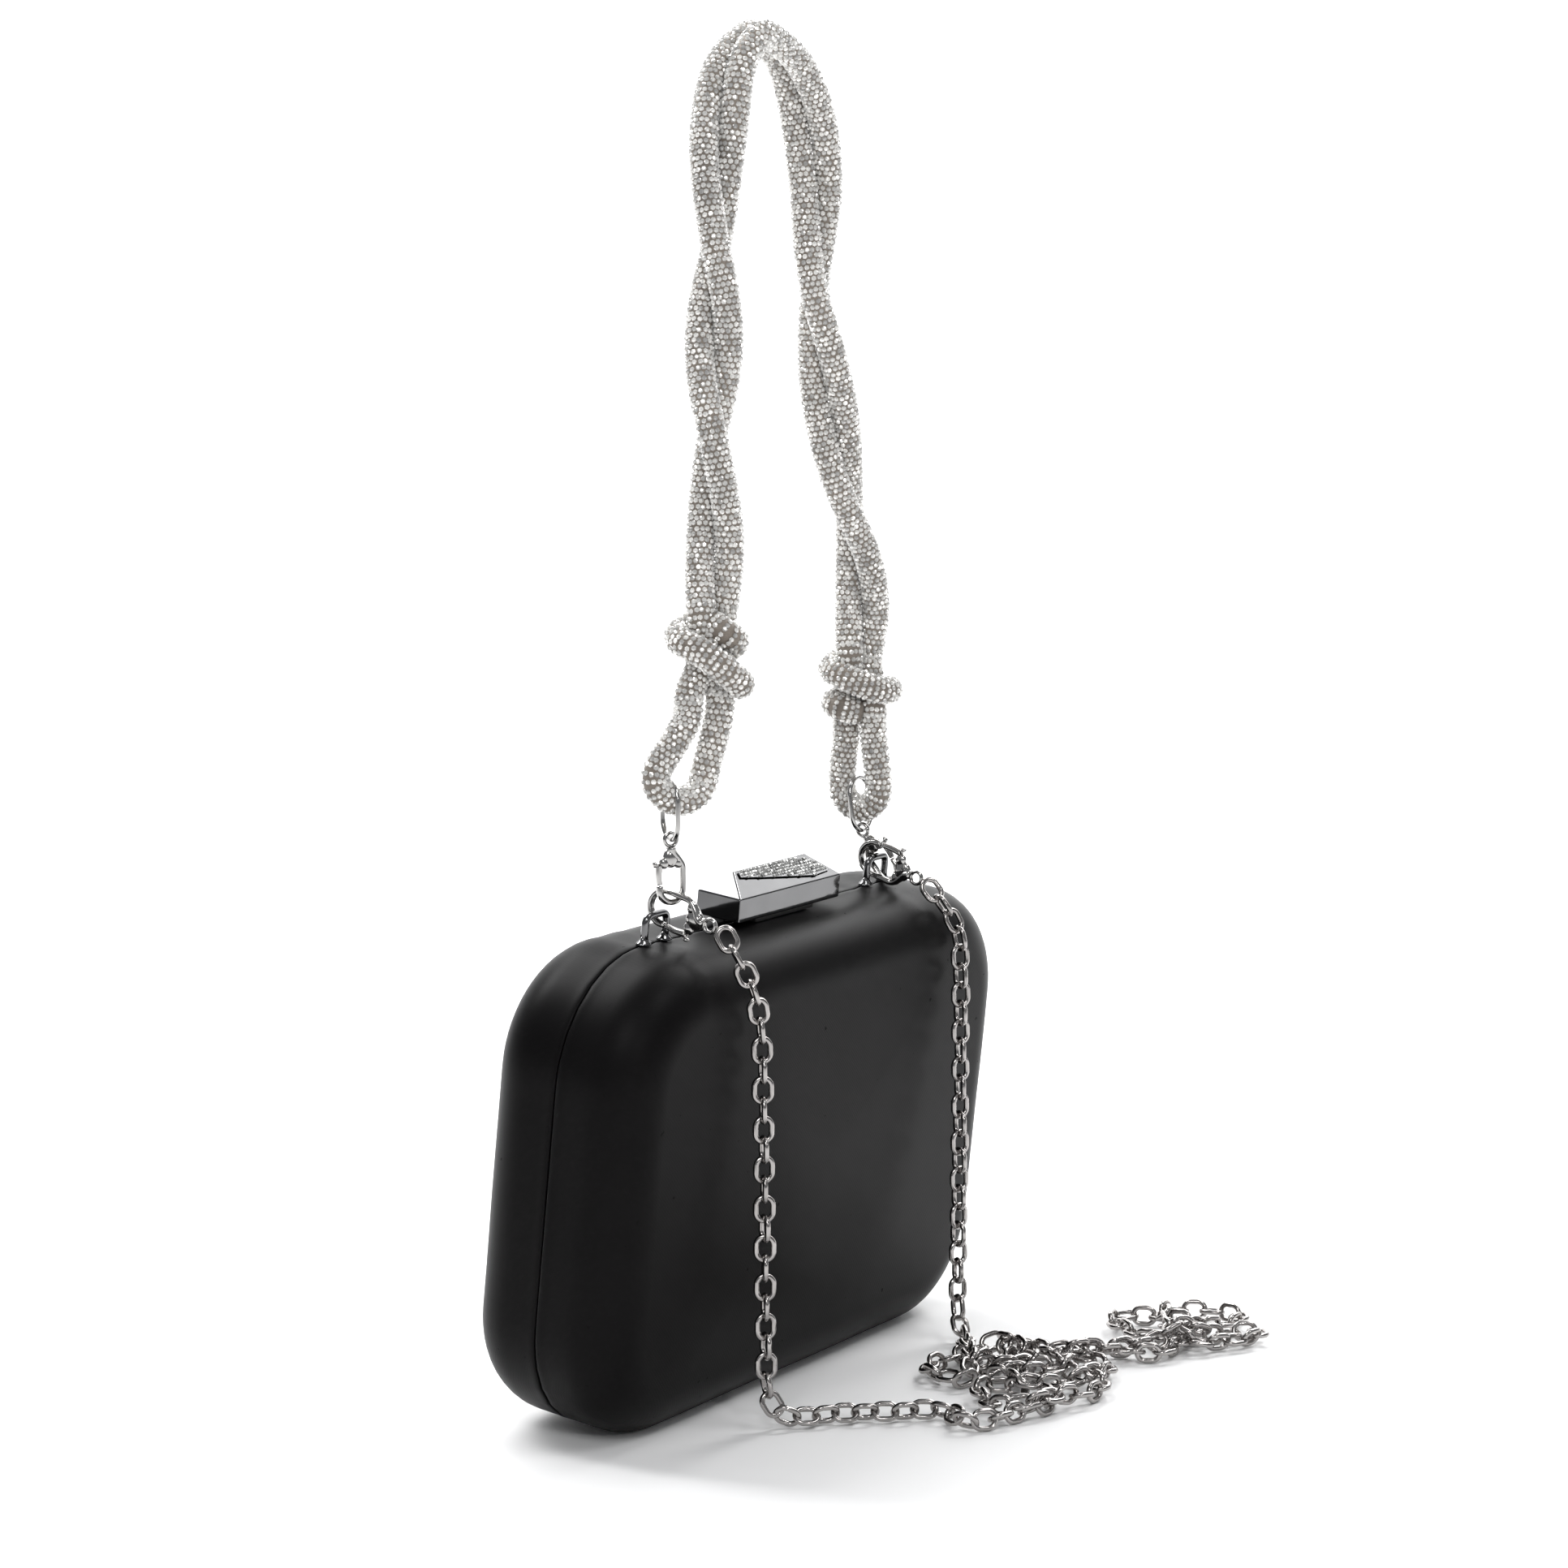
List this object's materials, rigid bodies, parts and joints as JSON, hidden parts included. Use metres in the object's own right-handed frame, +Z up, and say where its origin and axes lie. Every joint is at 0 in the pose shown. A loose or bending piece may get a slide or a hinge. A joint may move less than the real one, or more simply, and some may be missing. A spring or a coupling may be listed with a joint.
{
  "type": "evening bag",
  "caption": "Hard-sided evening clutch opening on a bottom hinge under a lever clasp, with a doubled, twisted stone-set rope handle and a loose metal chain strap.",
  "frame": {"origin": "middle of the box of the bag, its fittings and its rope handle, on the floor that it stands on", "axes": "+X to the right along the top seam, +Y to the back, +Z up; the front half of the case faces -Y"},
  "size_m": [0.2233, 0.1575, 0.3955],
  "materials": {
    "satin": "black satin with a fine rib, stretched over the shell",
    "board": "moulded board, hidden",
    "lining": "plain black lining cloth",
    "frame_metal": "plated steel rim",
    "nickel": "polished nickel plate",
    "steel": "bare steel wire",
    "stones": "clear foiled stones, close-set",
    "stone_mesh": "close-set clear stones on a warm grey mesh tube",
    "gunmetal": "dark nickel plated oval cable links"
  },
  "bodies": {
    "back_half": {"back_cover": "satin", "back_shell": "board", "back_lining": "lining", "back_frame": "frame_metal", "back_hinge_leaf": "nickel", "clasp_base": "nickel", "lug_left": "nickel", "lug_right": "nickel", "chain_clasp_left": "nickel", "chain_clasp_right": "nickel", "hinge_pin": "steel", "clasp_pin": "steel", "clasp_spring": "steel", "chain_left_drop": "gunmetal", "chain_right_drop": "gunmetal", "chain_heap_near": "gunmetal", "chain_heap_far": "gunmetal"},
    "front_half": {"front_cover": "satin", "front_shell": "board", "front_lining": "lining", "front_frame": "frame_metal", "front_hinge_leaf": "nickel", "clasp_catch": "nickel"},
    "lever": {"clasp_lever": "nickel", "clasp_stones": "stones"},
    "handle": {"rope_strand_a": "stone_mesh", "rope_strand_b": "stone_mesh", "rope_knot_left": "stone_mesh", "rope_knot_right": "stone_mesh", "rope_loop_left": "stone_mesh", "rope_loop_right": "stone_mesh", "ring_left": "nickel", "ring_right": "nickel", "handle_clasp_left": "nickel", "handle_clasp_right": "nickel"},
    "chain_trigger_left": {"chain_clasp_left_trigger": "nickel"},
    "chain_trigger_right": {"chain_clasp_right_trigger": "nickel"},
    "handle_trigger_left": {"handle_clasp_left_trigger": "nickel"},
    "handle_trigger_right": {"handle_clasp_right_trigger": "nickel"}
  },
  "joints": [
    {"name": "case_hinge", "type": "hinge", "parent": "back_half", "child": "front_half", "pos_m": [0, 0.00815, 0.00269], "axis": [1, 0, 0], "range_deg": [0, 80], "deforming": ["chain_left_drop", "chain_right_drop", "chain_heap_near", "chain_heap_far"]},
    {"name": "clasp_lever", "type": "hinge", "parent": "back_half", "child": "lever", "pos_m": [0, -0.00433, 0.14411], "axis": [-1, 0, 0], "range_deg": [0, 20], "stiffness_Nm_per_rad": 0.02, "springref_deg": -17.19},
    {"name": "handle_swing", "type": "hinge", "parent": "back_half", "child": "handle", "pos_m": [-0.0558, -0.0131, 0.1503], "axis": [0.9991, 0.0339, -0.0269], "range_deg": [-40, 10]},
    {"name": "chain_trigger_left", "type": "hinge", "parent": "back_half", "child": "chain_trigger_left", "pos_m": [-0.0558, -0.01788, 0.14192], "axis": [-1, 0, 0], "range_deg": [-15, 0], "stiffness_Nm_per_rad": 0.004, "springref_deg": 20.05},
    {"name": "chain_trigger_right", "type": "hinge", "parent": "back_half", "child": "chain_trigger_right", "pos_m": [0.05645, -0.01912, 0.14903], "axis": [1, 0, 0], "range_deg": [-15, 0], "stiffness_Nm_per_rad": 0.004, "springref_deg": 20.05},
    {"name": "handle_trigger_left", "type": "hinge", "parent": "handle", "child": "handle_trigger_left", "pos_m": [-0.05879, -0.01102, 0.1614], "axis": [0.5219, 0.853, 0], "range_deg": [-20, 0], "stiffness_Nm_per_rad": 0.004, "springref_deg": 20.05},
    {"name": "handle_trigger_right", "type": "hinge", "parent": "handle", "child": "handle_trigger_right", "pos_m": [0.05955, -0.01034, 0.15148], "axis": [-1, 0, 0], "range_deg": [-15, 0], "stiffness_Nm_per_rad": 0.004, "springref_deg": 20.05}
  ]
}
